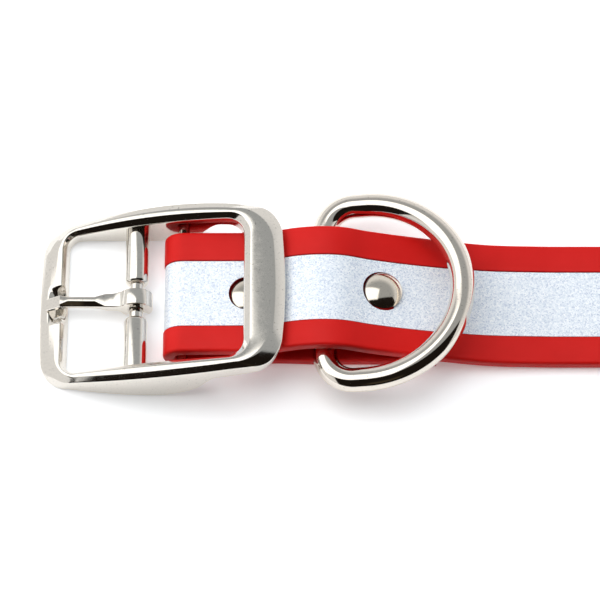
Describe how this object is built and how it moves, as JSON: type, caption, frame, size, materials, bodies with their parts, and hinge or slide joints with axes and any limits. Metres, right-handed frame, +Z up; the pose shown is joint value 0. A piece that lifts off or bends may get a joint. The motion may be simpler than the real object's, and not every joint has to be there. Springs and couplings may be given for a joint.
{
  "type": "dog collar",
  "caption": "Flat coated dog collar with a reflective stripe, a cast tongue buckle, a riveted D ring and a punched free end, laid out open.",
  "frame": {"origin": "middle of the strap's resting face, just past the hardware, where the strap starts to lie flat", "axes": "+X along the strap towards its free end, +Y across the strap, +Z up, away from the resting face"},
  "size_m": [0.4002, 0.0428, 0.0129],
  "materials": {
    "buckle_nickel": "polished nickel plate",
    "ring_nickel": "polished nickel plate",
    "rivet_nickel": "polished nickel plate, warmer",
    "red_coating": "satin polyurethane coating",
    "webbing_core": "woven polyester",
    "reflective_stripe": "glass-bead reflective tape"
  },
  "bodies": {
    "strap": {"strap_coating": "red_coating", "strap_core": "webbing_core", "strap_stripe": "reflective_stripe", "rivet_1_cap": "rivet_nickel", "rivet_1_back": "rivet_nickel", "rivet_2_cap": "rivet_nickel", "rivet_2_back": "rivet_nickel"},
    "buckle": {"buckle_frame": "buckle_nickel"},
    "tongue": {"tongue": "buckle_nickel"},
    "ring": {"d_ring": "ring_nickel"},
    "free_strap": {"free_strap_coating": "red_coating", "free_strap_core": "webbing_core", "free_strap_stripe": "reflective_stripe"}
  },
  "joints": [
    {"name": "buckle_swing", "type": "hinge", "parent": "strap", "child": "buckle", "pos_m": [-0.0792, 0, 0.0039], "axis": [0, 1, 0], "range_deg": [-60, 0]},
    {"name": "tongue_hinge", "type": "hinge", "parent": "buckle", "child": "tongue", "pos_m": [-0.0886, 0, 0.0033], "axis": [0, 1, 0], "range_deg": [0, 135]},
    {"name": "ring_swing", "type": "hinge", "parent": "strap", "child": "ring", "pos_m": [-0.0511, 0.0006, 0.00575], "axis": [0, -1, 0], "range_deg": [-5, 120]},
    {"name": "strap_flex", "type": "hinge", "parent": "strap", "child": "free_strap", "pos_m": [0.008, 0, 0.0026], "axis": [0, -1, 0], "range_deg": [0, 60]}
  ]
}
